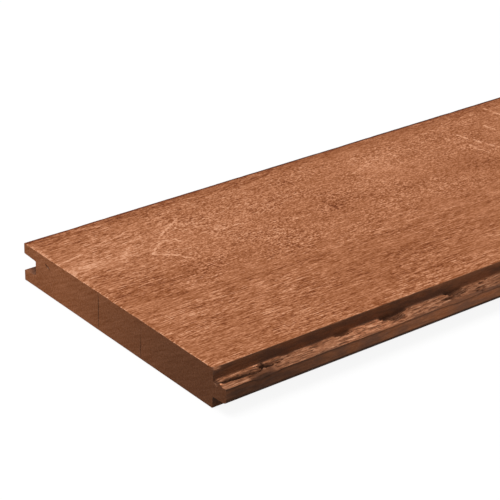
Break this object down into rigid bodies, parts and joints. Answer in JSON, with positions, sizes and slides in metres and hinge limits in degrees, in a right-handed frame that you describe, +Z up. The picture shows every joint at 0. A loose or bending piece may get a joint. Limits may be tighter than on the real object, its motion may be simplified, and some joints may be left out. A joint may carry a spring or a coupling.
{
  "type": "hardwood sheet pile plank",
  "caption": "Flat hardwood plank with a tongue along one edge and a groove along the other, driven side by side with like planks to hold back a bank.",
  "frame": {"origin": "middle of the plank's footprint, on its bottom face", "axes": "+X along the plank, +Y from the tongue edge to the groove edge, +Z up through the thickness"},
  "size_m": [1.5, 0.2, 0.025],
  "materials": {
    "hardwood": "planed faces, darker sawn ends, torn pale fibres on top of the tongue"
  },
  "bodies": {
    "root": {"plank": "hardwood"}
  },
  "joints": []
}
